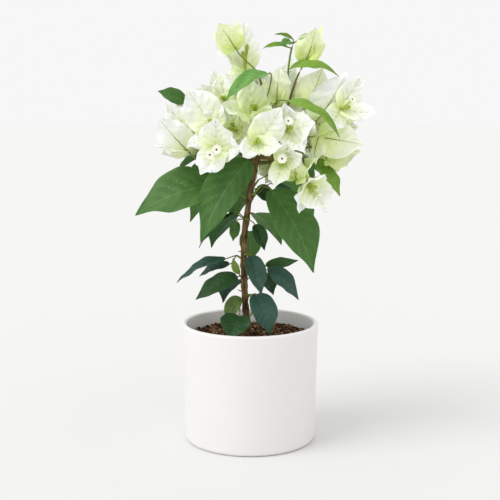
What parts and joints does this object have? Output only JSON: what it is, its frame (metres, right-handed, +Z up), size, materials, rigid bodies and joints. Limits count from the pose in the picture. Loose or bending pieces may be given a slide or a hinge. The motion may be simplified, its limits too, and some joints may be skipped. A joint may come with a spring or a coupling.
{
  "type": "potted bougainvillea shrub",
  "caption": "Potted bougainvillea: one slim woody stem with large green leaves under a rounded crown of creamy white bracts, in a plain white cylindrical pot.",
  "frame": {"origin": "middle of the pot's flat underside", "axes": "+Z up along the pot's axis, -Y towards the plant's front, +X to the right as seen from the front"},
  "size_m": [0.206, 0.1457, 0.366],
  "materials": {
    "white_ceramic": "matte",
    "bark_and_peat": "matte",
    "brown_bark": "matte",
    "papery_bracts": "matte",
    "green_leaves": "satin"
  },
  "bodies": {
    "root": {"pot": "white_ceramic", "potting_soil": "bark_and_peat", "main_stem": "brown_bark", "bough_back_left": "brown_bark", "bough_back_right": "brown_bark", "bough_front_left": "brown_bark", "bough_front_right": "brown_bark", "bough_leader": "brown_bark", "bough_left": "brown_bark", "bough_right": "brown_bark", "leaf_behind_stem": "green_leaves", "leaf_big_back_left": "green_leaves", "leaf_big_back_right": "green_leaves", "leaf_big_front_left": "green_leaves", "leaf_big_left": "green_leaves", "leaf_big_right": "green_leaves", "leaves_at_soil_left": "green_leaves", "leaves_at_soil_right": "green_leaves", "leaves_at_top": "green_leaves", "leaves_back_low": "green_leaves", "leaves_back_mid": "green_leaves", "leaves_low_left": "green_leaves", "leaves_low_right": "green_leaves", "leaves_mid_left": "green_leaves", "leaves_mid_right": "green_leaves", "leaves_upper_mid": "green_leaves", "leaves_upper_right": "green_leaves", "blossom_back_centre": "papery_bracts", "blossom_back_far_left": "papery_bracts", "blossom_back_left": "papery_bracts", "blossom_back_low": "papery_bracts", "blossom_back_middle": "papery_bracts", "blossom_back_right": "papery_bracts", "blossom_front_centre": "papery_bracts", "blossom_front_left": "papery_bracts", "blossom_front_right": "papery_bracts", "blossom_left": "papery_bracts", "blossom_right": "papery_bracts", "blossom_right_low": "papery_bracts", "blossom_top_back": "papery_bracts", "blossom_top_left": "papery_bracts", "blossom_top_right": "papery_bracts", "blossom_upper_centre": "papery_bracts", "blossom_upper_left": "papery_bracts", "blossom_upper_right": "papery_bracts"}
  },
  "joints": []
}
